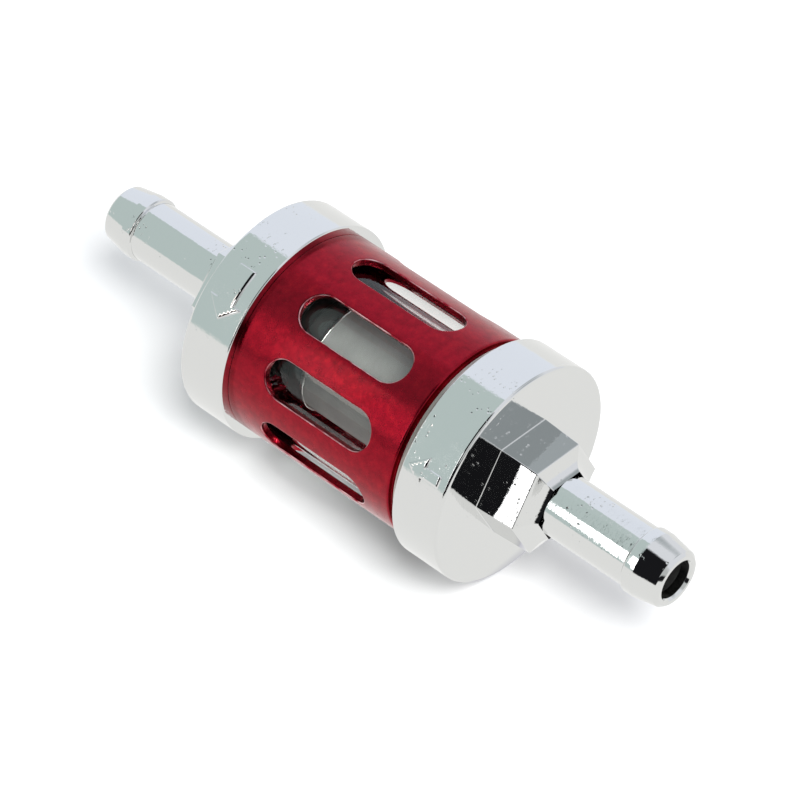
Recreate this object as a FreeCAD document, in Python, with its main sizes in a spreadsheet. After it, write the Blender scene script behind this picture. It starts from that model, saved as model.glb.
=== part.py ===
import FreeCAD, Part
import math
import os
import re
import Sketcher

# In-line fuel filter for 8 mm hose, lying along X with its centre at the origin.
# Fuel enters at the +X hose tail, passes inwards through the mesh and leaves at -X.
# Every length is in millimetres, every angle in degrees.

doc = FreeCAD.newDocument("FuelFilter")
sheet = doc.addObject("Spreadsheet::Sheet", "Sizes")

SIZES = [
    # Both end caps, each measured outwards from the middle of the filter.
    ("cap_radius", 14.6, "end cap, outside radius"),
    ("cap_back", 13.85, "end cap, open end"),
    ("cap_floor", 18.75, "end cap, floor of the threaded cup"),
    ("cap_front", 20.75, "end cap, outer face"),
    ("cap_bevel_front", 0.45, "bevel round the outer face"),
    ("cap_bevel_back", 0.2, "bevel round the open end"),
    ("cup_radius", 13.15, "threaded cup, radius of the plain land"),
    ("hex_flats", 13.0, "hexagon across flats"),
    ("hex_end", 26.15, "hexagon, outer end"),
    ("hex_turn_in", 55.4, "inlet hexagon, angle of a corner"),
    ("hex_turn_out", 12.5, "outlet hexagon, angle of a corner before it is turned round"),
    ("root_flats", 8.1, "pyramid at the hose tail's root, across flats at its small end"),
    ("root_end", 27.6, "pyramid at the hose tail's root, small end"),
    ("tail_radius", 3.95, "hose tail, outside radius"),
    ("barb_radius", 4.3, "barb, outside radius of its land"),
    ("barb_start", 39.85, "barb, shoulder"),
    ("barb_land_end", 41.45, "barb, end of the land"),
    ("tip_radius", 3.75, "hose tail tip, outside radius"),
    ("tip_round", 0.45, "hose tail tip, rounding"),
    ("tip_end", 45.0, "hose tail tip"),
    ("bore_radius", 2.5, "fuel bore"),
    ("bore_bevel", 0.33, "fuel bore, bevel at the mouth"),
    ("mark_height", 0.25, "raised flow arrow above the cap"),
    # Outlet cap only: the boss and spigot that carry the element.
    ("boss_radius", 6.2, "boss, outside radius"),
    ("boss_end", 12.9, "boss, inner end"),
    ("spigot_radius", 4.4, "spigot, outside radius"),
    ("spigot_end", 7.6, "spigot, inner end"),
    # Cage.
    ("cage_radius", 13.45, "cage, outside radius"),
    ("cage_bore", 12.5, "cage, inside radius"),
    ("neck_radius", 13.1, "threaded neck, radius of the plain land"),
    ("neck_end", 18.2, "threaded neck, end"),
    ("shoulder_in", 12.15, "cage shoulder at the inlet"),
    ("shoulder_out", 13.83, "cage shoulder at the outlet"),
    ("cage_bevel", 0.3, "cage, bevel at the inlet shoulder"),
    ("slot_count", 9, "windows round the cage"),
    ("slot_width", 5.2, "window, width"),
    ("slot_left", -8.75, "window, outlet end"),
    ("slot_right", 7.85, "window, inlet end"),
    ("slot_turn", 23.2, "cage, turn of the first window from the top"),
    # Glass and its two flat gaskets.
    ("glass_radius", 11.9, "glass tube, outside radius"),
    ("glass_bore", 9.5, "glass tube, inside radius"),
    ("glass_end", 17.55, "glass tube, half length"),
    ("gasket_inner", 9.2, "glass gasket, inside radius"),
    ("gasket_outer", 12.3, "glass gasket, outside radius"),
    ("gasket_gap", 0.02, "play on each side of a gasket"),
    # Filter element.
    ("mesh_radius", 7.1, "mesh sleeve, outside radius"),
    ("mesh_thick", 0.25, "mesh sleeve, thickness"),
    ("mesh_out", -7.25, "mesh sleeve, outlet end"),
    ("mesh_in", 9.0, "mesh sleeve, inlet end"),
    ("core_radius", 6.8, "core, outside radius"),
    ("core_bore", 5.9, "core, inside radius"),
    ("core_window_width", 3.6, "core, width of a window"),
    ("core_window_length", 5.8, "core, length of a window"),
    ("core_window_pitch", 7.2, "core, step between window rows"),
    ("core_window_count", 8, "core, windows in a row"),
    ("ring_radius", 7.15, "end ring and end disc, outside radius"),
    ("ring_end", -9.55, "outlet end ring, outer face"),
    ("hub_radius", 5.7, "outlet end ring, radius of its hub"),
    ("hub_end", -12.0, "outlet end ring, end of its hub"),
    ("hub_bore", 4.45, "outlet end ring, bore that slides on the spigot"),
    ("disc_end", 10.6, "inlet end disc, outer face"),
    ("peg_radius", 2.4, "inlet end disc, spring peg radius"),
    ("peg_end", 12.4, "inlet end disc, end of the spring peg"),
    ("band_radius", 7.35, "crimp band, outside radius"),
    ("band_width", 0.55, "crimp band, width"),
    ("washer_radius", 5.9, "seat washer, outside radius"),
    ("washer_bore", 4.5, "seat washer, inside radius"),
    # Spring.
    ("spring_radius", 3.5, "spring, mean coil radius"),
    ("wire_radius", 0.3, "spring, wire radius"),
    ("spring_turns", 5, "spring, turns"),
]

for row, (alias, value, note) in enumerate(SIZES, start=1):
    sheet.set("A%d" % row, note)
    sheet.set("B%d" % row, str(value))
    sheet.setAlias("B%d" % row, alias)
doc.recompute()


def in_full(expression):
    """An expression over the sheet's names, with the sheet named before each of them."""
    return re.sub(r"\b[a-z]+_[a-z_]+", r"Sizes.\g<0>", expression)


def size(expression):
    """The value of an expression over the sheet's names, as a plain number."""
    return float(sheet.evalExpression(in_full(expression)))


def bind(feature, field, expression):
    """Keep one field of a feature equal to an expression over the sheet's names."""
    feature.setExpression(field, in_full(expression))


def new_body(name):
    body = doc.addObject("PartDesign::Body", name)
    body.Label = name
    return body


def origin_feature(body, role):
    return next(f for f in body.Origin.OriginFeatures if f.Role == role)


def new_sketch(body, name, plane, offset=None):
    """An empty sketch on one of the body's origin planes, moved along the plane's normal."""
    sketch = body.newObject("Sketcher::SketchObject", name)
    sketch.AttachmentSupport = [(origin_feature(body, plane), "")]
    sketch.MapMode = "FlatFace"
    if offset:
        bind(sketch, "AttachmentOffset.Base.z", offset)
    doc.recompute()
    return sketch


def place_point(sketch, geometry, position, corner):
    """Hold one point of a sketch at the pair of expressions in corner."""
    for kind, expression in zip(("DistanceX", "DistanceY"), corner):
        rule = Sketcher.Constraint(kind, -1, 1, geometry, position, size(expression))
        bind(sketch, "Constraints[%d]" % sketch.addConstraint(rule), expression)


def outline(sketch, corners):
    """A closed outline of straight lines through corners, each a pair of expressions."""
    points = [FreeCAD.Vector(size(x), size(y), 0) for x, y in corners]
    count = len(points)
    for i in range(count):
        sketch.addGeometry(Part.LineSegment(points[i], points[(i + 1) % count]))
    for i in range(count):
        sketch.addConstraint(Sketcher.Constraint("Coincident", i, 2, (i + 1) % count, 1))
    for i in range(count):
        place_point(sketch, i, 1, corners[i])
    doc.recompute()
    return sketch


def sweep_round(body, kind, name, corners):
    """Revolve (or groove) an outline of (x, radius) corners about the X axis."""
    sketch = outline(new_sketch(body, name + "_outline", "XY_Plane"), corners)
    feature = body.newObject("PartDesign::" + kind, name)
    feature.Profile = sketch
    feature.ReferenceAxis = (sketch, ["H_Axis"])
    feature.Angle = 360
    doc.recompute()
    return feature


def ring(name, start, end, inner, outer):
    """A plain ring about X, between two planes and two radii, all expressions."""
    body = new_body(name)
    corners = [(start, inner), (start, outer), (end, outer), (end, inner)]
    sweep_round(body, "Revolution", name + "_ring", corners)
    return body


def hexagon(body, name, offset, flats, turn):
    """A hexagon square to X, with one corner at the angle turn."""
    corner = "%s / sqrt(3) * %s(%s + %d)"
    corners = [
        (corner % (flats, "cos", turn, 60 * i), corner % (flats, "sin", turn, 60 * i))
        for i in range(6)
    ]
    return outline(new_sketch(body, name, "YZ_Plane", offset), corners)


def end_cap(name, turn, spigot):
    """One end cap: threaded cup, hexagon, pyramid root and barbed hose tail, opening towards -X."""
    body = new_body(name)
    cap = [
        ("cap_back", "0"),
        ("cap_back", "cap_radius - cap_bevel_back"),
        ("cap_back + cap_bevel_back", "cap_radius"),
        ("cap_front - cap_bevel_front", "cap_radius"),
        ("cap_front", "cap_radius - cap_bevel_front"),
        ("cap_front", "tail_radius"),
        ("barb_start", "tail_radius"),
        ("barb_start + 0.12", "barb_radius"),
        ("barb_land_end", "barb_radius"),
        ("tip_end - tip_round", "tip_radius"),
        ("tip_end", "tip_radius - tip_round"),
        ("tip_end", "0"),
    ]
    sweep_round(body, "Revolution", name + "_solid", cap)

    face = hexagon(body, name + "_hex", "cap_front - 1", "hex_flats", turn)
    pad = body.newObject("PartDesign::Pad", name + "_hex_pad")
    pad.Profile = face
    bind(pad, "Length", "hex_end - cap_front + 1")
    doc.recompute()

    wide = hexagon(body, name + "_root_wide", "hex_end", "hex_flats", turn)
    narrow = hexagon(body, name + "_root_narrow", "root_end", "root_flats", turn)
    root = body.newObject("PartDesign::AdditiveLoft", name + "_root")
    root.Profile = wide
    root.Sections = [narrow]
    root.Ruled = True
    doc.recompute()

    cup = [
        ("cap_back - 1", "0"),
        ("cap_back - 1", "cup_radius"),
        ("cap_floor", "cup_radius"),
        ("cap_floor", "0"),
    ]
    sweep_round(body, "Groove", name + "_cup", cup)

    bore_start = "cap_floor - 1"
    if spigot:
        stem = [
            ("spigot_end", "0"),
            ("spigot_end", "spigot_radius"),
            ("boss_end", "spigot_radius"),
            ("boss_end", "boss_radius"),
            ("cap_floor + 0.5", "boss_radius"),
            ("cap_floor + 0.5", "0"),
        ]
        sweep_round(body, "Revolution", name + "_stem", stem)
        bore_start = "spigot_end - 1"
    bore = [
        (bore_start, "0"),
        (bore_start, "bore_radius"),
        ("tip_end - bore_bevel", "bore_radius"),
        ("tip_end", "bore_radius + bore_bevel"),
        ("tip_end + 1", "bore_radius + bore_bevel"),
        ("tip_end + 1", "0"),
    ]
    sweep_round(body, "Groove", name + "_bore", bore)
    return body


def raised_arrow(name, corners, along, angle):
    """A block arrow on a cap's rim: corners are (along the axis, round the rim) from its middle."""
    sketch = doc.addObject("Sketcher::SketchObject", name + "_outline")
    seat = size("cap_radius - 1")
    lean = math.radians(angle)
    spot = FreeCAD.Vector(along, seat * math.cos(lean), seat * math.sin(lean))
    sketch.Placement = FreeCAD.Placement(spot, FreeCAD.Rotation(FreeCAD.Vector(1, 0, 0), angle - 90))
    outline(sketch, [(str(x), str(y)) for x, y in corners])
    block = doc.addObject("Part::Extrusion", name + "_block")
    block.Base = sketch
    block.DirMode = "Normal"
    block.LengthFwd = 3
    block.Solid = True
    limit = doc.addObject("Part::Cylinder", name + "_limit")
    bind(limit, "Radius", "cap_radius + mark_height")
    limit.Height = 60
    limit.Placement = FreeCAD.Placement(
        FreeCAD.Vector(-30, 0, 0), FreeCAD.Rotation(FreeCAD.Vector(0, 1, 0), 90)
    )
    arrow = doc.addObject("Part::Common", name)
    arrow.Base = block
    arrow.Tool = limit
    doc.recompute()
    return arrow


def joined(name, pieces):
    fused = doc.addObject("Part::MultiFuse", name + "_fused")
    fused.Shapes = pieces
    fused.Label = name
    fused.Refine = True
    doc.recompute()
    return fused


def cage():
    """Slotted sleeve with a threaded neck at each end."""
    body = new_body("cage_sleeve")
    wall = [
        ("-neck_end", "cage_bore"),
        ("-neck_end", "neck_radius - 0.2"),
        ("0.2 - neck_end", "neck_radius"),
        ("-shoulder_out", "neck_radius"),
        ("-shoulder_out", "cage_radius"),
        ("shoulder_in - cage_bevel", "cage_radius"),
        ("shoulder_in", "cage_radius - cage_bevel"),
        ("shoulder_in", "neck_radius"),
        ("neck_end - 0.2", "neck_radius"),
        ("neck_end", "neck_radius - 0.2"),
        ("neck_end", "cage_bore"),
    ]
    sweep_round(body, "Revolution", "cage_wall", wall)

    window = slot_sketch(
        body, "cage_window", "slot_left", "slot_right", "slot_width"
    )
    cut = body.newObject("PartDesign::Pocket", "cage_window_cut")
    cut.Profile = window
    cut.Reversed = True
    bind(cut, "Length", "cage_radius + 1")
    doc.recompute()
    pattern = body.newObject("PartDesign::PolarPattern", "cage_windows")
    pattern.Originals = [cut]
    pattern.Axis = (origin_feature(body, "X_Axis"), [""])
    pattern.Angle = 360
    bind(pattern, "Occurrences", "slot_count")
    body.Tip = pattern
    body.Placement.Rotation = FreeCAD.Rotation(FreeCAD.Vector(1, 0, 0), size("slot_turn"))
    doc.recompute()
    return body


def slot_sketch(body, name, left, right, width):
    """A slot with round ends along X, on the plane through the axis."""
    sketch = new_sketch(body, name, "XY_Plane")
    half = size(width) / 2
    first = size(left) + half
    last = size(right) - half
    sketch.addGeometry(Part.LineSegment(FreeCAD.Vector(first, half, 0), FreeCAD.Vector(last, half, 0)))
    sketch.addGeometry(Part.LineSegment(FreeCAD.Vector(last, -half, 0), FreeCAD.Vector(first, -half, 0)))
    up = FreeCAD.Vector(0, 0, 1)
    quarter = math.pi / 2
    end = Part.Circle(FreeCAD.Vector(last, 0, 0), up, half)
    sketch.addGeometry(Part.ArcOfCircle(end, -quarter, quarter))
    end = Part.Circle(FreeCAD.Vector(first, 0, 0), up, half)
    sketch.addGeometry(Part.ArcOfCircle(end, quarter, 3 * quarter))
    for a, a_end, b, b_end in ((0, 2, 2, 2), (1, 1, 2, 1), (1, 2, 3, 2), (0, 1, 3, 1)):
        sketch.addConstraint(Sketcher.Constraint("Tangent", a, a_end, b, b_end))
    place_point(sketch, 2, 3, ("%s - %s / 2" % (right, width), "0"))
    place_point(sketch, 3, 3, ("%s + %s / 2" % (left, width), "0"))
    sketch.addConstraint(Sketcher.Constraint("Equal", 2, 3))
    radius = sketch.addConstraint(Sketcher.Constraint("Radius", 2, half))
    bind(sketch, "Constraints[%d]" % radius, "%s / 2" % width)
    doc.recompute()
    return sketch


def element_core():
    """Perforated tube that holds the mesh: two rows of windows."""
    body = new_body("element_core")
    wall = [
        ("mesh_out", "core_bore"),
        ("mesh_out", "core_radius"),
        ("mesh_in", "core_radius"),
        ("mesh_in", "core_bore"),
    ]
    sweep_round(body, "Revolution", "core_wall", wall)
    middle = "(mesh_out + mesh_in) / 2"
    start = middle + " - (core_window_pitch + core_window_length) / 2"
    window = slot_sketch(
        body, "core_window", start, start + " + core_window_length", "core_window_width"
    )
    cut = body.newObject("PartDesign::Pocket", "core_window_cut")
    cut.Profile = window
    cut.Reversed = True
    bind(cut, "Length", "core_radius + 1")
    doc.recompute()
    grid = body.newObject("PartDesign::MultiTransform", "core_windows")
    grid.Originals = [cut]
    row = body.newObject("PartDesign::LinearPattern", "core_row")
    row.Direction = (origin_feature(body, "X_Axis"), [""])
    bind(row, "Length", "core_window_pitch")
    row.Occurrences = 2
    turn = body.newObject("PartDesign::PolarPattern", "core_turn")
    turn.Axis = (origin_feature(body, "X_Axis"), [""])
    turn.Angle = 360
    bind(turn, "Occurrences", "core_window_count")
    grid.Transformations = [row, turn]
    body.Tip = grid
    doc.recompute()
    return body


def element_ring():
    """Outlet end of the element: flange against the mesh, and a hub that slides on the spigot."""
    body = new_body("element_outlet_ring")
    corners = [
        ("hub_end", "hub_bore"),
        ("hub_end", "hub_radius"),
        ("ring_end", "hub_radius"),
        ("ring_end", "ring_radius"),
        ("mesh_out", "ring_radius"),
        ("mesh_out", "hub_bore"),
    ]
    sweep_round(body, "Revolution", "outlet_ring_solid", corners)
    return body


def element_disc():
    """Inlet end of the element: closed disc with a peg that centres the spring."""
    body = new_body("element_inlet_disc")
    corners = [
        ("mesh_in", "0"),
        ("mesh_in", "ring_radius"),
        ("disc_end", "ring_radius"),
        ("disc_end", "peg_radius"),
        ("peg_end", "peg_radius"),
        ("peg_end", "0"),
    ]
    sweep_round(body, "Revolution", "inlet_disc_solid", corners)
    return body


def element_spring():
    """Compression spring between the inlet end disc and the floor of the inlet cap."""
    body = new_body("element_spring")
    first = "disc_end + wire_radius + gasket_gap"
    last = "cap_floor - wire_radius - gasket_gap"
    section = wire_section(body, "coil_section", first)
    helix = body.newObject("PartDesign::AdditiveHelix", "coil")
    helix.Profile = section
    helix.ReferenceAxis = (section, ["H_Axis"])
    helix.Mode = "height-turns-angle"
    bind(helix, "Height", "(%s) - (%s)" % (last, first))
    bind(helix, "Turns", "spring_turns")
    helix.Angle = 0
    doc.recompute()
    return body


def wire_section(body, name, centre):
    sketch = new_sketch(body, name, "XY_Plane")
    spot = FreeCAD.Vector(size(centre), size("spring_radius"), 0)
    sketch.addGeometry(Part.Circle(spot, FreeCAD.Vector(0, 0, 1), size("wire_radius")))
    place_point(sketch, 0, 3, (centre, "spring_radius"))
    radius = sketch.addConstraint(Sketcher.Constraint("Radius", 0, size("wire_radius")))
    bind(sketch, "Constraints[%d]" % radius, "wire_radius")
    doc.recompute()
    return sketch


# End caps. The outlet cap is the same casting turned to face -X, with the element's spigot inside.
inlet_solid = end_cap("inlet_casting", "hex_turn_in", False)
outlet_solid = end_cap("outlet_casting", "hex_turn_out", True)
outlet_solid.Placement.Rotation = FreeCAD.Rotation(FreeCAD.Vector(0, 0, 1), 180)
doc.recompute()

# Block arrows raised on the caps' rims: along the axis on the inlet, round the rim on the outlet.
inlet_arrow = [
    (2.3, -0.75), (2.3, 0.75), (0.0, 0.75), (0.0, 2.0), (-2.4, 0.0), (0.0, -2.0), (0.0, -0.75)
]
outlet_arrow = [
    (-1.25, 3.5), (1.25, 3.5), (1.25, -1.3), (2.45, -1.3), (0.0, -3.6), (-2.45, -1.3), (-1.25, -1.3)
]
inlet_mark = raised_arrow("inlet_mark", inlet_arrow, 17.1, 148.7)
outlet_mark = raised_arrow("outlet_mark", outlet_arrow, -17.0, 128.5)

nodes = [
    joined("inlet_cap", [inlet_solid, inlet_mark]),
    joined("outlet_cap", [outlet_solid, outlet_mark]),
    cage(),
    ring("glass_tube", "-glass_end", "glass_end", "glass_bore", "glass_radius"),
    ring(
        "inlet_gasket",
        "glass_end + gasket_gap",
        "cap_floor - gasket_gap",
        "gasket_inner",
        "gasket_outer",
    ),
    ring(
        "outlet_gasket",
        "-cap_floor + gasket_gap",
        "-glass_end - gasket_gap",
        "gasket_inner",
        "gasket_outer",
    ),
    ring(
        "element_mesh",
        "mesh_out",
        "mesh_in",
        "mesh_radius - mesh_thick",
        "mesh_radius",
    ),
    element_core(),
    element_ring(),
    element_disc(),
    ring(
        "element_band_outlet",
        "mesh_out",
        "mesh_out + band_width",
        "mesh_radius",
        "band_radius",
    ),
    ring(
        "element_band_inlet",
        "mesh_in - band_width",
        "mesh_in",
        "mesh_radius",
        "band_radius",
    ),
    ring(
        "element_seat_washer",
        "-boss_end + gasket_gap",
        "hub_end - gasket_gap",
        "washer_bore",
        "washer_radius",
    ),
    element_spring(),
]

doc.recompute()
for item in doc.Objects:
    if "Invalid" in item.State or "Error" in item.State:
        raise RuntimeError("%s did not build" % item.Name)

os.makedirs("parts", exist_ok=True)
for node in nodes:
    if node.Shape.isNull() or not node.Shape.isValid() or len(node.Shape.Solids) != 1:
        raise RuntimeError("%s is not one sound solid" % node.Label)
    node.Shape.exportStep("parts/%s.step" % node.Label)
    box = node.Shape.BoundBox
    print("%-20s x %7.2f to %6.2f  volume %8.2f" % (node.Label, box.XMin, box.XMax, node.Shape.Volume))
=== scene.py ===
"""Looks of an in-line fuel filter for small engines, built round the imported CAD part.

The filter lies along X. Shapes are worked out in millimetres and scaled once, when a mesh is made.
An angle round the filter is in degrees from +Y towards +Z.
"""

import math

import bmesh
import bpy
from mathutils import Matrix, Vector


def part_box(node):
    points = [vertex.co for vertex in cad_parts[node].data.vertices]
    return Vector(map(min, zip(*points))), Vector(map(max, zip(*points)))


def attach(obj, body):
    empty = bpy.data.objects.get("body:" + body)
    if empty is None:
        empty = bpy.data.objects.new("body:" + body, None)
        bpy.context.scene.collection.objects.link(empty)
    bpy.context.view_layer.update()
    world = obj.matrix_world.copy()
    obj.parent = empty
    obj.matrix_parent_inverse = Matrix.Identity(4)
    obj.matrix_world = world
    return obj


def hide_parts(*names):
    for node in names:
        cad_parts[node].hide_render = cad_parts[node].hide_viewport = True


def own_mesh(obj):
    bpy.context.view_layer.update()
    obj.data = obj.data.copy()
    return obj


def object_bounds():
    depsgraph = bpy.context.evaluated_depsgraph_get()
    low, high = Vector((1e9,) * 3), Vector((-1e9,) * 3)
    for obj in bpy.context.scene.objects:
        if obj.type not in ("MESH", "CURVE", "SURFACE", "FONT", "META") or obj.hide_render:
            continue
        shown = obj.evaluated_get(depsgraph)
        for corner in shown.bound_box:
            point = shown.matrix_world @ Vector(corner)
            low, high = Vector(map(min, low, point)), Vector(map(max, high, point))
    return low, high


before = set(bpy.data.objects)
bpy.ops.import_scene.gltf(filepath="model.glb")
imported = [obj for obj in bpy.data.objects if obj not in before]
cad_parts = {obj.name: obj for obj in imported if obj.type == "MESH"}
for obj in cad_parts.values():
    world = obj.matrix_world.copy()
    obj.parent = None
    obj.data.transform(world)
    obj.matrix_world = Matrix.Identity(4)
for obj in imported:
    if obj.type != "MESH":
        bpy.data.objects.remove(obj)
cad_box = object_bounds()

MM = 0.001
AROUND = 180  # steps round every turned shape


# ---------------------------------------------------------------- node helpers


def node(tree, kind, **inputs):
    """A new shader node with some inputs given, each a value or another node's output.

    An input goes by its name, or by its number as _0, _1 and so on.
    """
    made = tree.nodes.new("ShaderNode" + kind)
    for name, value in inputs.items():
        key = int(name[1:]) if name[0] == "_" else name.replace("_", " ")
        socket = made.inputs[key]
        if isinstance(value, bpy.types.NodeSocket):
            tree.links.new(value, socket)
        else:
            socket.default_value = value
    return made


def maths(tree, operation, a, b=0.0, clamp=False):
    """One step of arithmetic on two numbers or outputs."""
    made = node(tree, "Math", _0=a, _1=b)
    made.operation = operation
    made.use_clamp = clamp
    return made.outputs[0]


def blend(tree, factor, a, b, how="MIX"):
    """Two colours mixed, each a colour or another node's output."""
    made = node(tree, "Mix", _0=factor)
    made.data_type = "RGBA"
    made.blend_type = how
    for socket, value in ((made.inputs[6], a), (made.inputs[7], b)):
        if isinstance(value, tuple):
            socket.default_value = (*value, 1)
        else:
            tree.links.new(value, socket)
    return made.outputs[2]


def ramp(tree, factor, stops):
    """A colour ramp through (position, grey or colour) stops."""
    made = node(tree, "ValToRGB", Fac=factor)
    while len(made.color_ramp.elements) < len(stops):
        made.color_ramp.elements.new(0.5)
    for element, (position, value) in zip(made.color_ramp.elements, stops):
        element.position = position
        element.color = (*value, 1) if isinstance(value, tuple) else (value, value, value, 1)
    return made.outputs["Color"]


def noise(tree, scale, detail=2.0, roughness=0.5, stretch=None):
    """Noise over the object, finer with a larger scale; stretch squeezes it along X, Y and Z."""
    coordinates = node(tree, "TexCoord").outputs["Object"]
    if stretch:
        coordinates = node(tree, "Mapping", Vector=coordinates, Scale=stretch).outputs["Vector"]
    made = node(tree, "TexNoise", Vector=coordinates, Scale=scale, Detail=detail, Roughness=roughness)
    return made.outputs["Fac"]


def bump(tree, height, depth, below=None):
    """A bump of some depth in millimetres, laid over another bump if one is given."""
    made = node(tree, "Bump", Height=height, Strength=1.0, Distance=depth * MM)
    if below:
        tree.links.new(below, made.inputs["Normal"])
    return made.outputs["Normal"]


def new_material(name, **inputs):
    """A material with one Principled shader; returns it with its tree and its shader."""
    material = bpy.data.materials.new(name)
    material.use_nodes = True
    tree = material.node_tree
    shader = tree.nodes["Principled BSDF"]
    for key, value in inputs.items():
        shader.inputs[key.replace("_", " ")].default_value = value
    return material, tree, shader


# ---------------------------------------------------------------- materials


def chrome():
    """Bright plating over a casting: wavy skin, pits, and a little haze."""
    material, tree, shader = new_material(
        "chrome_plate", Metallic=1.0, Base_Color=(0.72, 0.725, 0.72, 1)
    )
    swell = bump(tree, noise(tree, 420, 2.0), 0.011)
    dimples = bump(tree, noise(tree, 950, 2.0), 0.006, swell)
    ripple = bump(tree, noise(tree, 2300, 3.0, 0.6), 0.006, dimples)
    cells = node(tree, "TexVoronoi", Vector=node(tree, "TexCoord").outputs["Object"], Scale=1500)
    patches = ramp(tree, noise(tree, 260, 2.0), [(0.55, 0.0), (0.63, 1.0)])
    pits = ramp(tree, cells.outputs["Distance"], [(0.06, 0.0), (0.24, 1.0)])
    open_pits = maths(tree, "MAXIMUM", pits, maths(tree, "SUBTRACT", 1.0, patches), clamp=True)
    pitted = bump(tree, open_pits, 0.028, ripple)
    tree.links.new(pitted, shader.inputs["Normal"])
    haze = ramp(tree, noise(tree, 700, 3.0), [(0.3, 0.03), (0.75, 0.075)])
    tree.links.new(haze, shader.inputs["Roughness"])
    return material


def anodised():
    """Red anodising on turned aluminium: fine lathe lines and a mottled dye."""
    material, tree, shader = new_material(
        "red_anodised", Metallic=1.0, Coat_Weight=0.15, Coat_Roughness=0.1, Coat_IOR=1.5
    )
    mottle = ramp(
        tree,
        noise(tree, 900, 4.0, 0.65),
        [(0.3, (0.24, 0.003, 0.013)), (0.52, (0.31, 0.004, 0.017)), (0.75, (0.40, 0.008, 0.020))],
    )
    tree.links.new(mottle, shader.inputs["Base Color"])
    lines = bump(tree, noise(tree, 60, 2.0, 0.5, (90, 1, 1)), 0.0012)
    grain = bump(tree, noise(tree, 2600, 2.0, 0.6), 0.0014, lines)
    tree.links.new(grain, shader.inputs["Normal"])
    sheen = ramp(tree, noise(tree, 1200, 3.0), [(0.3, 0.19), (0.7, 0.29)])
    tree.links.new(sheen, shader.inputs["Roughness"])
    return material


def bare_aluminium():
    """The sleeve's threads, cut after the anodising."""
    material, tree, shader = new_material("bare_aluminium", Metallic=1.0, Roughness=0.3)
    tone = ramp(
        tree, noise(tree, 500, 3.0), [(0.3, (0.42, 0.36, 0.33)), (0.7, (0.58, 0.52, 0.49))]
    )
    tree.links.new(tone, shader.inputs["Base Color"])
    tree.links.new(bump(tree, noise(tree, 60, 2.0, 0.5, (120, 1, 1)), 0.003), shader.inputs["Normal"])
    return material


def edge_painted_highlight():
    """Sharp edges of the windows, painted a patchy pale pink as a painted highlight."""
    material, tree, shader = new_material("red_edge_painted_highlight", Metallic=1.0, Roughness=0.32)
    tone = ramp(
        tree, noise(tree, 550, 3.0), [(0.38, (0.36, 0.02, 0.04)), (0.62, (0.78, 0.50, 0.52))]
    )
    tree.links.new(tone, shader.inputs["Base Color"])
    tree.links.new(bump(tree, noise(tree, 1800, 2.0), 0.003), shader.inputs["Normal"])
    return material


def bare_casting_and_painted_shade():
    """The castings' recesses: dull and grainy where the plating hardly reached, and painted dark as
    shade.
    """
    material, tree, shader = new_material("bare_casting_and_painted_shade", Metallic=0.8, Roughness=0.55)
    tone = ramp(tree, noise(tree, 700, 3.0), [(0.3, (0.05, 0.05, 0.048)), (0.7, (0.10, 0.10, 0.095))])
    tree.links.new(tone, shader.inputs["Base Color"])
    tree.links.new(bump(tree, noise(tree, 1600, 3.0), 0.02), shader.inputs["Normal"])
    return material


def glass():
    """Clear glass that lets the lamps light what is behind it, with a trace of smear."""
    material, tree, shader = new_material(
        "clear_glass", Base_Color=(0.97, 0.985, 0.98, 1), Transmission_Weight=1.0, IOR=1.47,
        Specular_IOR_Level=0.08,
    )
    smear = ramp(tree, noise(tree, 120, 3.0), [(0.5, 0.0), (0.8, 0.01)])
    tree.links.new(smear, shader.inputs["Roughness"])
    clear = node(tree, "BsdfTransparent", Color=(0.93, 0.96, 0.95, 1))
    lamps = node(tree, "LightPath").outputs["Is Shadow Ray"]
    mixed = node(tree, "MixShader", _0=lamps, _1=shader.outputs[0], _2=clear.outputs[0])
    tree.links.new(mixed.outputs[0], tree.nodes["Material Output"].inputs["Surface"])
    return material


def woven_mesh():
    """Fine plain weave on a sleeve about X."""
    pitch = 0.2 * MM
    wires_around = 236.0
    material, tree, shader = new_material("steel_mesh", Metallic=0.55, Roughness=0.5)
    places = node(tree, "TexCoord").outputs["Object"]
    apart = node(tree, "SeparateXYZ", Vector=places)
    turn = maths(tree, "ARCTAN2", apart.outputs["Z"], apart.outputs["Y"])
    around = maths(tree, "SINE", maths(tree, "MULTIPLY", turn, wires_around))
    waves = maths(tree, "MULTIPLY", apart.outputs["X"], 2 * math.pi / pitch)
    along = maths(tree, "SINE", waves)
    weave = maths(tree, "MULTIPLY", around, along)
    height = maths(tree, "ADD", maths(tree, "MULTIPLY", weave, 0.5), 0.5)
    tone = ramp(tree, height, [(0.0, (0.20, 0.195, 0.185)), (1.0, (0.37, 0.36, 0.345))])
    stains = ramp(tree, noise(tree, 350, 3.0), [(0.3, 0.82), (0.7, 1.0)])
    stained = blend(tree, 1.0, tone, stains, "MULTIPLY")
    tree.links.new(stained, shader.inputs["Base Color"])
    tree.links.new(bump(tree, height, 0.03), shader.inputs["Normal"])
    return material


def bright_steel():
    """Drawn spring wire and rolled bands, a little uneven in shine."""
    material, tree, shader = new_material(
        "bright_steel", Metallic=1.0, Base_Color=(0.74, 0.73, 0.71, 1)
    )
    tree.links.new(bump(tree, noise(tree, 900, 3.0), 0.004), shader.inputs["Normal"])
    wear = ramp(tree, noise(tree, 500, 2.0), [(0.35, 0.14), (0.7, 0.3)])
    tree.links.new(wear, shader.inputs["Roughness"])
    return material


def moulded(name, dark, light, roughness):
    """Plastic or rubber with a fine moulded grain and slight unevenness of tone."""
    material, tree, shader = new_material(name, Roughness=roughness, Specular_IOR_Level=0.25)
    tone = ramp(tree, noise(tree, 260, 3.0), [(0.3, dark), (0.7, light)])
    tree.links.new(tone, shader.inputs["Base Color"])
    tree.links.new(bump(tree, noise(tree, 2400, 2.0), 0.006), shader.inputs["Normal"])
    return material


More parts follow.
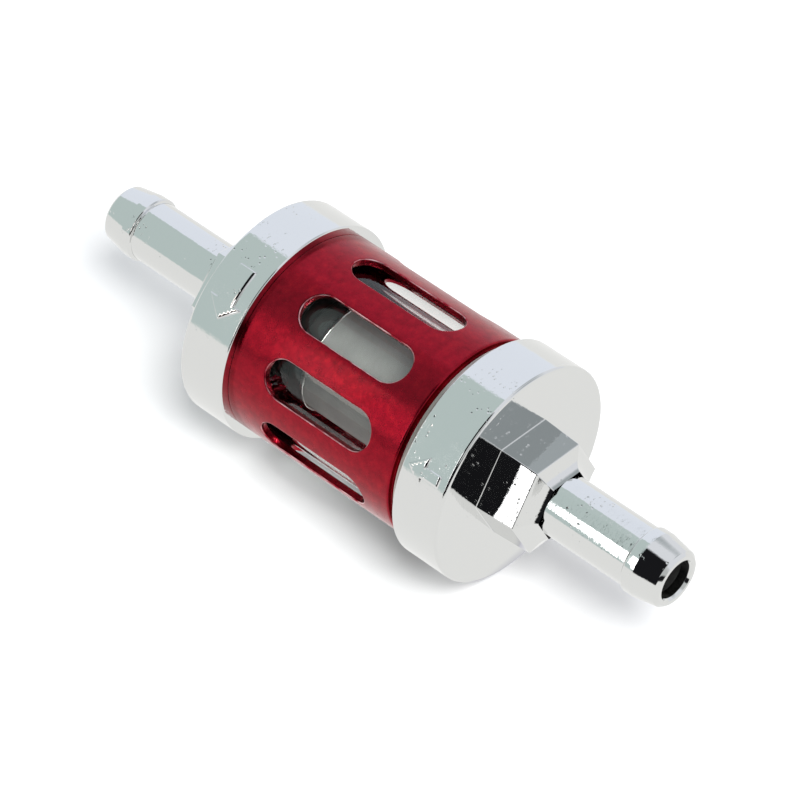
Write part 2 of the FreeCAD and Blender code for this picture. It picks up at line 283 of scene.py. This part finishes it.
def floor_paper():
    """White sweep with a faint tooth.

    Mirrored or seen through glass it is an even glow, but for a painted shade under each cap.
    """
    # Size and soft edge of the painted shade under each cap, in metres.
    half_width, start, end, fade = 0.006, 0.0145, 0.0202, 0.0016
    material, tree, shader = new_material("white_sweep", Roughness=0.9)
    tone = ramp(tree, noise(tree, 90, 2.0), [(0.3, (0.80, 0.80, 0.80)), (0.7, (0.82, 0.82, 0.82))])
    tree.links.new(tone, shader.inputs["Base Color"])
    shader.inputs["Specular IOR Level"].default_value = 0.0
    shader.inputs["Emission Color"].default_value = (1.0, 0.965, 0.975, 1)
    shader.inputs["Emission Strength"].default_value = 0.105
    apart = node(tree, "SeparateXYZ", Vector=node(tree, "TexCoord").outputs["Object"])
    along = maths(tree, "ABSOLUTE", apart.outputs["X"])
    across = maths(tree, "ABSOLUTE", apart.outputs["Y"])
    beside = maths(tree, "SUBTRACT", across, half_width)
    beyond = maths(tree, "SUBTRACT", along, end)
    before = maths(tree, "SUBTRACT", start, along)
    away = maths(tree, "MAXIMUM", beside, maths(tree, "MAXIMUM", beyond, before))
    far = maths(tree, "DIVIDE", away, fade, clamp=True)
    # Painted shade under each cap, fading into the even glow seen mirrored or through glass.
    shade = ramp(tree, far, [(0.0, (0.57, 0.57, 0.66)), (1.0, (0.97, 0.97, 0.955))])
    glow = node(tree, "Emission", Color=shade, Strength=1.0)
    seen = node(tree, "LightPath").outputs["Is Camera Ray"]
    mixed = node(tree, "MixShader", _0=seen, _1=glow.outputs[0], _2=shader.outputs[0])
    tree.links.new(mixed.outputs[0], tree.nodes["Material Output"].inputs["Surface"])
    return material


CHROME = chrome()
CASTING_AND_PAINTED_SHADE = bare_casting_and_painted_shade()
RED = anodised()
BARE = bare_aluminium()
EDGE_PAINTED_HIGHLIGHT = edge_painted_highlight()
GLASS = glass()
MESH = woven_mesh()
STEEL = bright_steel()
GREY_NYLON = moulded("grey_nylon", (0.22, 0.22, 0.21), (0.30, 0.30, 0.29), 0.5)
BLACK_NYLON = moulded("black_nylon", (0.010, 0.010, 0.010), (0.020, 0.020, 0.019), 0.35)
RUBBER = moulded("black_rubber", (0.012, 0.012, 0.012), (0.028, 0.028, 0.027), 0.6)


# ---------------------------------------------------------------- shape helpers


def span(name):
    """A CAD node's lowest and highest corners in millimetres."""
    low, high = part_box(name)
    return low / MM, high / MM


def on_round(x, radius, angle):
    """The point at a place along the filter, a radius and an angle round it."""
    turn = math.radians(angle)
    return Vector((x, radius * math.cos(turn), radius * math.sin(turn)))


def rounded(corners, closed=True, steps=5):
    """A line through (x, y, rounding) corners, with each corner rounded."""
    points = []
    count = len(corners)
    for i, (x, y, rounding) in enumerate(corners):
        here = Vector((x, y))
        if rounding == 0 or (not closed and i in (0, count - 1)):
            points.append(here)
            continue
        before = Vector(corners[i - 1][:2]) - here
        after = Vector(corners[(i + 1) % count][:2]) - here
        half = before.angle(after) / 2
        reach = min(rounding / math.tan(half), 0.49 * before.length, 0.49 * after.length)
        start = here + before.normalized() * reach
        end = here + after.normalized() * reach
        for k in range(steps + 1):
            t = k / steps
            points.append(start * (1 - t) ** 2 + here * 2 * t * (1 - t) + end * t ** 2)
    return points


class Shape:
    """Collects vertices in millimetres and faces, each face with a material number."""

    def __init__(self):
        self.bm = bmesh.new()

    def grid(self, rows, wrap_rows=False, wrap_columns=False, material=0, flip=False):
        """Quads between rows of points; wrapping joins the last row or column to the first."""
        made = [[self.bm.verts.new(p) for p in row] for row in rows]
        height, width = len(made), len(made[0])
        for i in range(height if wrap_rows else height - 1):
            for j in range(width if wrap_columns else width - 1):
                a = made[i][j]
                b = made[i][(j + 1) % width]
                c = made[(i + 1) % height][(j + 1) % width]
                d = made[(i + 1) % height][j]
                face = self.bm.faces.new((a, d, c, b) if flip else (a, b, c, d))
                face.material_index = material

    def turned(self, line, closed=False, phase=0.0, material=0, flip=False):
        """A line of (x, radius) points turned about X."""
        angles = [phase + 360 * i / AROUND for i in range(AROUND)]
        rows = [[on_round(x, r, a) for a in angles] for x, r in line]
        self.grid(rows, closed, True, material, flip)

    def screw(self, start, end, radius, depth, phase=0.0, material=0, flip=False):
        """A right-hand thread of 1 mm pitch cut depth into (or, if negative, out of) a round face."""
        run_out = 0.35  # the thread fades away over this length at each end
        steps = round((end - start) / 0.0625)
        rows = []
        for i in range(steps + 1):
            x = start + (end - start) * i / steps
            fade = min(1.0, (x - start) / run_out, (end - x) / run_out)
            row = []
            for j in range(AROUND):
                angle = phase + 360 * j / AROUND
                cut = 0.5 - 0.5 * math.cos(2 * math.pi * (x - angle / 360))
                row.append(on_round(x, radius - depth * fade * cut, angle))
            rows.append(row)
        self.grid(rows, False, True, material, flip)

    def finish(self, name, materials, weighted=True, turn_end=False):
        """The finished mesh object. turn_end swings the shape half a turn about Z, to face -X."""
        bm = self.bm
        if turn_end:
            bmesh.ops.transform(bm, matrix=Matrix.Rotation(math.pi, 4, "Z"), verts=bm.verts)
        bmesh.ops.remove_doubles(bm, verts=bm.verts, dist=0.002)
        bmesh.ops.recalc_face_normals(bm, faces=bm.faces)
        bmesh.ops.scale(bm, vec=(MM, MM, MM), verts=bm.verts)
        mesh = bpy.data.meshes.new(name)
        bm.to_mesh(mesh)
        bm.free()
        for material in materials:
            mesh.materials.append(material)
        mesh.shade_smooth()
        made = bpy.data.objects.new(name, mesh)
        bpy.context.scene.collection.objects.link(made)
        if weighted:
            modifier = made.modifiers.new("normals", "WEIGHTED_NORMAL")
            modifier.weight = 100
            modifier.keep_sharp = True
        return made


def place(piece, body, slot, *nodes):
    """Put a piece on its body and hide the CAD nodes it stands for. The slot, a finish name, is not
    used.
    """
    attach(piece, body)
    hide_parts(*nodes)


# ---------------------------------------------------------------- end caps

# Distances along the filter are from its middle.
HEX_FLATS = 13.0
HEX_END = 26.15
HEX_CORNER = 0.2
DRAFT = 0.25  # the cast hexagon narrows by twice this from the cap to its outer end
ROOT_END = 27.7
ROOT_FLATS = 8.0
ROOT_SAG = 0.9
CAP_BACK = 13.85
CAP_FRONT = 20.75
CUP_RADIUS = 13.15
CUP_FLOOR = 18.75
THREAD = 0.3  # depth of the thread in the cup and on the sleeve's necks
BORE = 2.5
PLATED_BORE = 1.5  # how far into the bore the bright plating reaches; past it the bore is painted dark as shade
TAIL = 3.95
BARB = 4.3
BARB_START = 39.98
BARB_TAPER = 41.45
SPIGOT_END = 7.6
SPIGOT = 4.4
BOSS_END = 12.9
BOSS = 6.2


def hexagon_outline(flats, corner, turn):
    """Points round a hexagon with rounded corners, as (y, z)."""
    reach = flats / math.sqrt(3)
    corners = []
    for i in range(6):
        angle = math.radians(turn + 60 * i)
        corners.append((reach * math.cos(angle), reach * math.sin(angle), corner))
    return rounded(corners)


def hexagon_and_root(shape, turn):
    """Hexagon with a small fillet at the cap's face and a hollow-sided pyramid down to the tail."""
    fillet = 0.12
    chamfer = 0.10
    wide, slim = HEX_FLATS + DRAFT, HEX_FLATS - DRAFT
    stations = []
    for k in range(5):
        lean = math.radians(90 * (1 - k / 4))
        x = CAP_FRONT + fillet * (1 - math.sin(lean))
        stations.append((x, wide + 2 * fillet * (1 - math.cos(lean))))
    stations += [(HEX_END - 0.12, slim), (HEX_END, slim - chamfer)]
    for k in range(1, 9):
        t = k / 8
        flats = slim - chamfer - (slim - ROOT_FLATS) * t
        sag = ROOT_SAG * math.sin(math.pi * t)
        stations.append((HEX_END + (ROOT_END - HEX_END) * t, flats - sag))
    rows = []
    for x, flats in stations:
        rows.append([Vector((x, p.x, p.y)) for p in hexagon_outline(flats, HEX_CORNER, turn)])
    shape.grid(rows, False, True, flip=True)


def offset_outline(outline, distance):
    """A closed outline moved outwards by a distance, corners kept sharp."""
    moved = []
    count = len(outline)
    for i in range(count):
        here = Vector(outline[i])
        before = (here - Vector(outline[i - 1])).normalized()
        after = (Vector(outline[(i + 1) % count]) - here).normalized()
        n1 = Vector((before.y, -before.x))
        n2 = Vector((after.y, -after.x))
        moved.append(here + (n1 + n2) * (distance / (1 + n1.dot(n2))))
    return moved


# Sides of a raised mark, as (distance outside its outline, height over the rim).
MARK_SIDES = ((0.09, -0.03), (0.04, 0.02), (0.0, 0.1), (-0.03, 0.16), (-0.09, 0.19))


def raised_mark(shape, outline, x, angle, radius):
    """A flat-topped mark with sloped, softened sides, wrapped on a cap's rim."""
    bm = shape.bm
    area = sum(a[0] * b[1] - b[0] * a[1] for a, b in zip(outline, outline[1:] + outline[:1]))
    outward = 1 if area > 0 else -1
    rings = []
    for distance, height in MARK_SIDES:
        points = offset_outline(outline, distance * outward)
        rings.append([bm.verts.new((p.x, p.y, height)) for p in points])
    faces = [bm.faces.new(rings[-1])]
    for lower, upper in zip(rings, rings[1:]):
        for i in range(len(lower)):
            j = (i + 1) % len(lower)
            faces.append(bm.faces.new((lower[i], lower[j], upper[j], upper[i])))
    spacing = 0.4  # cuts across the mark both ways, so that it bends evenly
    for across in (Vector((1, 0, 0)), Vector((0, 1, 0))):
        for step in range(-10, 11):
            verts = {v for f in faces for v in f.verts}
            edges = {e for f in faces for e in f.edges}
            done = bmesh.ops.bisect_plane(
                bm, geom=[*verts, *edges, *faces], plane_co=across * spacing * step, plane_no=across
            )
            faces = [g for g in done["geom"] if isinstance(g, bmesh.types.BMFace)]
    verts = {v for f in faces for v in f.verts}
    bmesh.ops.recalc_face_normals(bm, faces=faces)
    for v in verts:
        v.co = on_round(x + v.co.x, radius + v.co.z, angle - math.degrees(v.co.y / radius))
    bmesh.ops.triangulate(bm, faces=faces)
    bmesh.ops.recalc_face_normals(bm, faces=[f for f in bm.faces if f.verts[0] in verts])


INLET_ARROW = [
    (2.3, -0.75), (2.3, 0.75), (0.0, 0.75), (0.0, 2.0), (-2.4, 0.0), (0.0, -2.0), (0.0, -0.75)
]
OUTLET_ARROW = [
    (-1.25, 3.5), (1.25, 3.5), (1.25, -1.3), (2.45, -1.3), (0.0, -3.6), (-2.45, -1.3), (-1.25, -1.3)
]


def end_cap(name, cad_node, turn, spigot, arrow, arrow_x, arrow_angle):
    """One plated casting, built facing +X; the outlet's is swung round to -X."""
    low, high = span(cad_node)
    radius = high.y
    outer = max(high.x, -low.x)
    thread_start, thread_end = CAP_BACK + 0.3, CUP_FLOOR - 0.45
    shape = Shape()
    plated = [
        (thread_start, CUP_RADIUS, 0),
        (CAP_BACK, CUP_RADIUS + 0.12, 0.1),
        (CAP_BACK, radius, 0.22),
        (CAP_FRONT, radius, 0.4),
        (CAP_FRONT, TAIL, 0.3),
        (BARB_START - 0.16, TAIL, 0.12),
        (BARB_START, BARB, 0.28),
        (BARB_TAPER, BARB, 0.35),
        (outer - 0.45, 3.75, 0.2),
        (outer, 3.3, 0.22),
        (outer, BORE + 0.3, 0.1),
        (outer - 0.35, BORE, 0.1),
        (outer - PLATED_BORE, BORE, 0),
    ]
    shape.turned(rounded(plated, closed=False), flip=True)
    inside = [(outer - PLATED_BORE, BORE, 0)]
    if spigot:
        inside += [
            (SPIGOT_END, BORE, 0.1),
            (SPIGOT_END, SPIGOT, 0.15),
            (BOSS_END, SPIGOT, 0.1),
            (BOSS_END, BOSS, 0.2),
            (CUP_FLOOR, BOSS, 0.3),
        ]
    else:
        inside += [(CUP_FLOOR, BORE, 0.2)]
    inside += [(CUP_FLOOR, CUP_RADIUS, 0.2), (thread_end, CUP_RADIUS, 0)]
    # The bore past the plating, the recesses and the cup's thread take the casting finish painted
    # dark as shade.
    shape.turned(rounded(inside, closed=False), material=1, flip=True)
    shape.screw(thread_start, thread_end, CUP_RADIUS, -THREAD, material=1)
    hexagon_and_root(shape, turn)
    if spigot:
        raised_mark(shape, [(-u, -v) for u, v in arrow], -arrow_x, 180 - arrow_angle, radius)
    else:
        raised_mark(shape, arrow, arrow_x, arrow_angle, radius)
    return shape.finish(name, [CHROME, CASTING_AND_PAINTED_SHADE], turn_end=spigot)


place(
    end_cap("inlet_casting", "inlet_cap", 55.4, False, INLET_ARROW, 17.1, 148.7),
    "cap", "chrome_plate", "inlet_cap",
)
place(
    end_cap("outlet_casting", "outlet_cap", 12.5, True, OUTLET_ARROW, -17.0, 128.5),
    "housing", "chrome_plate", "outlet_cap",
)


# ---------------------------------------------------------------- cage

SLOTS = 9
SLOT_TURN = 113.2
SLOT_ENDS = (-8.75, 7.85)
SLOT_HALF = 2.6
SLOT_EDGE = 0.2  # rounding of a slot's outer edge
SLOTTED = (-11.2, 10.2)  # length of the sleeve that the slots' cells cover
CAGE_RADIUS = span("cage_sleeve")[1].y
CAGE_BORE = 12.5
NECK = 13.1
NECK_END = span("cage_sleeve")[1].x
RELIEF = 0.28  # depth of the groove between a shoulder and its thread


def slot_line(outset, sides, ends):
    """Points round a slot moved outwards by outset, as (x, distance across the slot)."""
    half = SLOT_HALF + outset
    first = SLOT_ENDS[0] + SLOT_HALF
    last = SLOT_ENDS[1] - SLOT_HALF
    points = [(first + (last - first) * i / sides, -half) for i in range(sides)]
    for i in range(ends):
        a = math.pi * (i / ends - 0.5)
        points.append((last + half * math.cos(a), half * math.sin(a)))
    points += [(last + (first - last) * i / sides, half) for i in range(sides)]
    for i in range(ends):
        a = math.pi * (i / ends + 0.5)
        points.append((first + half * math.cos(a), half * math.sin(a)))
    return points


def cell_line(left, right, half, sides, ends):
    """Points round one slot's share of the sleeve, matched to slot_line, as (x, angle)."""
    points = [(left + (right - left) * i / sides, -half) for i in range(sides)]
    points += [(right, half * (2 * i / ends - 1)) for i in range(ends)]
    points += [(right + (left - right) * i / sides, half) for i in range(sides)]
    points += [(left, half * (1 - 2 * i / ends)) for i in range(ends)]
    return points


def slot_levels():
    """Steps down a slot's wall from the outside to the bore, as (outset, radius)."""
    levels = []
    for k in range(5):
        a = math.radians(90 * k / 4)
        outset = SLOT_EDGE * (1 - math.sin(a))
        levels.append((outset, CAGE_RADIUS - SLOT_EDGE * (1 - math.cos(a))))
    levels += [(0.0, CAGE_BORE + 0.3), (0.0, CAGE_BORE + 0.08)]
    levels += [(0.03, CAGE_BORE + 0.02), (0.08, CAGE_BORE)]
    return levels


def slotted_wall(shape, left, right):
    """The slotted length of the sleeve: outside, slot edges with a painted highlight, slot walls and
    inside.
    """
    sides = 26
    ends = AROUND // SLOTS
    cell = cell_line(left, right, 180 / SLOTS, sides, ends)
    levels = slot_levels()
    for slot in range(SLOTS):
        middle = SLOT_TURN + 360 * slot / SLOTS

        def skin(outset, radius, steps):
            """Rows on the outside or the bore, a share of the way from the cell to the slot."""
            rows = []
            for t in steps:
                row = []
                for (x0, a0), (x1, c) in zip(cell, slot_line(outset, sides, ends)):
                    a1 = math.degrees(math.asin(c / radius))
                    row.append(on_round(x0 + (x1 - x0) * t, radius, middle + a0 + (a1 - a0) * t))
                rows.append(row)
            return rows

        outside = skin(*levels[0], (0, 0.2, 0.4, 0.6, 0.8, 0.94))
        inside = skin(*levels[-1], (0.94, 0.7, 0.35, 0))
        wall = [skin(outset, radius, (1,))[0] for outset, radius in levels]
        shape.grid(outside + wall[:2], False, True)
        # Rounded slot edges: the painted highlight.
        shape.grid(wall[1:4], False, True, material=2)
        shape.grid(wall[3:] + inside, False, True)


def cage():
    """Slotted sleeve, bevelled at the inlet shoulder, with a cut thread on each neck."""
    shape = Shape()
    left, right = SLOTTED
    slotted_wall(shape, left, right)
    phase = SLOT_TURN - 180 / SLOTS
    necks = ((1, right, 12.15, 0.3), (-1, left, 13.83, 0.08))
    for sign, edge, shoulder, bevel in necks:
        thread_start, thread_end = shoulder + 0.5, NECK_END - 0.3
        outside = [
            (edge, CAGE_RADIUS, 0),
            (sign * (shoulder - 0.5), CAGE_RADIUS, 0),
            (sign * shoulder, CAGE_RADIUS, bevel),
            (sign * shoulder, NECK - RELIEF, 0.05),
            (sign * (shoulder + 0.35), NECK - RELIEF, 0.1),
            (sign * thread_start, NECK, 0),
        ]
        shape.turned(rounded(outside, closed=False), phase=phase, flip=sign < 0)
        thread = sorted((sign * thread_start, sign * thread_end))
        shape.screw(*thread, NECK, THREAD, phase, material=1)
        inside = [
            (sign * thread_end, NECK, 0),
            (sign * NECK_END, NECK - 0.12, 0.1),
            (sign * NECK_END, CAGE_BORE, 0.15),
            (edge, CAGE_BORE, 0),
        ]
        shape.turned(rounded(inside, closed=False), phase=phase, flip=sign < 0)
    return shape.finish("slotted_cage", [RED, BARE, EDGE_PAINTED_HIGHLIGHT])


sleeve = cage()
sleeve.visible_diffuse = False
place(sleeve, "housing", "red_anodised", "cage_sleeve")


# ---------------------------------------------------------------- glass, gaskets and element


def turned_piece(name, material, corners):
    """A piece turned from a closed outline of (x, radius, rounding) corners."""
    shape = Shape()
    shape.turned(rounded(corners), closed=True)
    return shape.finish(name, [material])


def plain_ring(cad_node, bore, rounding, material, slot, body, name):
    """A ring with softened edges in the place of a CAD ring."""
    low, high = span(cad_node)
    corners = [
        (low.x, bore, rounding),
        (low.x, high.y, rounding),
        (high.x, high.y, rounding),
        (high.x, bore, rounding),
    ]
    place(turned_piece(name, material, corners), body, slot, cad_node)


# CAD node, bore radius, rounding, material, slot, body and name of each plain ring.
RINGS = [
    ("glass_tube", 9.5, 0.3, GLASS, "clear_glass", "housing", "sight_glass"),
    ("outlet_gasket", 9.2, 0.25, RUBBER, "black_rubber", "housing", "outlet_seal"),
    ("inlet_gasket", 9.2, 0.25, RUBBER, "black_rubber", "cap_seal", "inlet_seal"),
    ("element_mesh", 6.85, 0.05, MESH, "steel_mesh", "element", "mesh_sleeve"),
    ("element_band_outlet", 7.1, 0.1, STEEL, "bright_steel", "element", "outlet_crimp_band"),
    ("element_band_inlet", 7.1, 0.1, STEEL, "bright_steel", "element", "inlet_crimp_band"),
    ("element_seat_washer", 4.5, 0.2, RUBBER, "black_rubber", "housing", "seat_seal"),
]
for ring in RINGS:
    plain_ring(*ring)


def outlet_ring():
    """Moulded end of the element: flange, stepped shoulder and hub."""
    low, high = span("element_outlet_ring")
    flange, hub, bore = -9.55, 5.7, 4.45
    corners = [
        (low.x, bore, 0.15),
        (low.x, hub, 0.2),
        (flange, hub, 0.2),
        (flange, high.y, 0.3),
        (high.x, high.y, 0.1),
        (high.x, bore, 0.1),
    ]
    return turned_piece("element_end_ring", BLACK_NYLON, corners)


def inlet_disc():
    """Closed end of the element with the peg that centres the spring."""
    low, high = span("element_inlet_disc")
    face, peg, axis = 10.6, 2.4, 0.02
    corners = [
        (low.x, axis, 0),
        (low.x, high.y, 0.1),
        (face, high.y, 0.3),
        (face, peg, 0.15),
        (high.x, peg, 0.35),
        (high.x, axis, 0),
    ]
    shape = Shape()
    shape.turned(rounded(corners, closed=False))
    return shape.finish("element_end_disc", [BLACK_NYLON])


place(outlet_ring(), "element", "black_nylon", "element_outlet_ring")
place(inlet_disc(), "element", "black_nylon", "element_inlet_disc")
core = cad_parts["element_core"]  # keeps its CAD shape
core.data.materials.clear()
core.data.materials.append(GREY_NYLON)


def spring():
    """Coil spring with a closed turn at each end."""
    low, high = span("element_spring")
    wire, coil = 0.3, 3.5
    turns, turn_steps, wire_steps = 6, 48, 12
    start, end = low.x + wire, high.x - wire
    closed = 2 * wire + 0.03  # advance of a closed turn
    rows = []
    for i in range(turns * turn_steps + 1):
        turn = i / turn_steps
        if turn < 1:
            x = start + closed * turn
        elif turn > turns - 1:
            x = end - closed * (turns - turn)
        else:
            x = start + closed + (end - start - 2 * closed) * (turn - 1) / (turns - 2)
        row = []
        for j in range(wire_steps):
            a = 2 * math.pi * j / wire_steps
            row.append(on_round(x + wire * math.cos(a), coil + wire * math.sin(a), 360 * turn))
        rows.append(row)
    shape = Shape()
    shape.grid(rows, False, True)
    bmesh.ops.holes_fill(shape.bm, edges=shape.bm.edges)
    return shape.finish("coil_spring", [STEEL], weighted=False)


coil = spring()
place(coil, "housing", "bright_steel", "element_spring")
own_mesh(coil)


# ---------------------------------------------------------------- floor, light and camera


def card(name, corners, colour, strength):
    """A glowing studio card through its corners in millimetres, out of the camera's sight."""
    mesh = bpy.data.meshes.new(name)
    mesh.from_pydata([Vector(c) * MM for c in corners], [], [range(len(corners))])
    material, tree, shader = new_material(name, Base_Color=(0, 0, 0, 1), Roughness=1.0)
    shader.inputs["Emission Color"].default_value = (*colour, 1)
    shader.inputs["Emission Strength"].default_value = strength
    mesh.materials.append(material)
    made = bpy.data.objects.new(name, mesh)
    bpy.context.scene.collection.objects.link(made)
    made.visible_camera = False
    made.visible_shadow = False


def studio_sky(world):
    """Soft surroundings: pale behind the filter, grey towards -X, and a dark camera side."""
    tree = world.node_tree
    way = node(tree, "TexCoord").outputs["Generated"]
    apart = node(tree, "SeparateXYZ", Vector=way)
    x, y, z = (apart.outputs[c] for c in "XYZ")

    def side(normal, low, high):
        """0 on one side of a plane through the filter and 1 on the other, soft between."""
        across = node(tree, "VectorMath", _0=way, _1=normal)
        across.operation = "DOT_PRODUCT"
        made = node(tree, "MapRange", Value=across.outputs["Value"], From_Min=low, From_Max=high)
        made.interpolation_type = "SMOOTHSTEP"
        return made.outputs["Result"]

    def mixed(factor, a, b):
        return blend(tree, factor, a, b)

    # Well towards -X, mirrored by the rims and hose tails: grey-green, and pale past a plane.
    split = math.radians(74)
    behind = side((0, math.sin(split), -math.cos(split)), -0.01, 0.01)
    ends = mixed(behind, (0.60, 0.70, 0.685), (0.95, 1.0, 1.10))

    # Elsewhere, mirrored by the hexagons and barbs: pale with a grey lamp frame to each side,
    # and black on the camera's side, but for a grey patch over the inlet.
    sideways = node(tree, "CombineXYZ", X=maths(tree, "ABSOLUTE", x), Y=y, Z=z).outputs["Vector"]
    towards_frame = node(tree, "VectorMath", _0=sideways, _1=(0.39, 0.643, 0.659))
    towards_frame.operation = "DOT_PRODUCT"
    on_frame = node(
        tree, "MapRange", Value=towards_frame.outputs["Value"], From_Min=0.93, From_Max=0.985
    )
    pale = mixed(on_frame.outputs["Result"], (0.90, 0.92, 0.97), (0.43, 0.47, 0.49))
    past_inlet = side((1, 0, 0), 0.12, 0.25)
    over_inlet = maths(tree, "MULTIPLY", past_inlet, side((0, 0.53, 0.848), -0.03, 0.05))
    camera_side = mixed(over_inlet, (0.012, 0.012, 0.014), (0.60, 0.62, 0.62))
    near = mixed(side((0, 1, 0), -0.12, 0.02), camera_side, pale)

    towards_inlet = side((1, 0, 0), -0.415, -0.395)
    upper = mixed(towards_inlet, ends, near)
    above = side((0, 0, 1), -0.02, 0.05)
    seen = mixed(above, (1.0, 1.0, 0.97), upper)
    to_camera = node(tree, "LightPath").outputs["Is Camera Ray"]
    shown = mixed(to_camera, seen, (0.93, 0.93, 0.93))
    tree.links.new(shown, tree.nodes["Background"].inputs["Color"])


world = bpy.data.worlds.new("studio")
world.use_nodes = True
bpy.context.scene.world = world
studio_sky(world)

FLOOR_REACH = 3.0
floor_level = cad_box[0].z
floor_corners = [(-1, -1), (1, -1), (1, 1), (-1, 1)]
floor_mesh = bpy.data.meshes.new("floor")
floor_mesh.from_pydata(
    [(x * FLOOR_REACH, y * FLOOR_REACH, floor_level) for x, y in floor_corners], [], [(0, 1, 2, 3)]
)
floor_mesh.materials.append(floor_paper())
floor = bpy.data.objects.new("floor", floor_mesh)
bpy.context.scene.collection.objects.link(floor)

BRIGHT_CARD = [
    (-72, -155, 155),
    (-48, -155, 155),
    (-48, -218, 27),
    (-61.2, -218, 27),
    (-61.2, -203, 58),
    (-72, -200, 64),
]
SOFT_CARD = [(-119, -142, 170), (-104, -142, 170), (-104, -212, 50), (-119, -212, 50)]
card("bright_card", BRIGHT_CARD, (1.0, 1.0, 1.0), 3.0)
card("soft_card", SOFT_CARD, (1.0, 0.9, 0.85), 3.2)

KEY_DIRECTION = Vector((0.505, -0.2366, 0.83))
KEY_DISTANCE = 0.7
key_data = bpy.data.lights.new("key", "AREA")
key_data.size = 0.36
key_data.energy = 5.8
key = bpy.data.objects.new("key", key_data)
key.location = KEY_DIRECTION * KEY_DISTANCE
key.rotation_mode = "QUATERNION"
key.rotation_quaternion = KEY_DIRECTION.to_track_quat("Z", "Y")
key.visible_glossy = False
bpy.context.scene.collection.objects.link(key)

AZIMUTH, ELEVATION, ROLL = (math.radians(a) for a in (43.293, 46.008, -0.378))
DISTANCE = 0.55929
outwards = Vector((math.sin(AZIMUTH), -math.cos(AZIMUTH), 0))
back = outwards * math.cos(ELEVATION) + Vector((0, 0, math.sin(ELEVATION)))
level = Vector((math.cos(AZIMUTH), math.sin(AZIMUTH), 0))
right = level * math.cos(ROLL) + back.cross(level) * math.sin(ROLL)
upward = back.cross(right)
turned_to = Matrix((right, upward, back)).transposed().to_4x4()
camera_data = bpy.data.cameras.new("camera")
camera_data.sensor_width = 36.0
camera_data.lens = 211.30
camera_data.shift_x = 0.01236
camera_data.shift_y = -0.01344
camera_data.clip_start = 0.01
camera_data.clip_end = 20.0
camera = bpy.data.objects.new("camera", camera_data)
camera.matrix_world = Matrix.Translation(back * DISTANCE) @ turned_to
bpy.context.scene.collection.objects.link(camera)
bpy.context.scene.camera = camera
bpy.context.scene.view_settings.view_transform = "Standard"
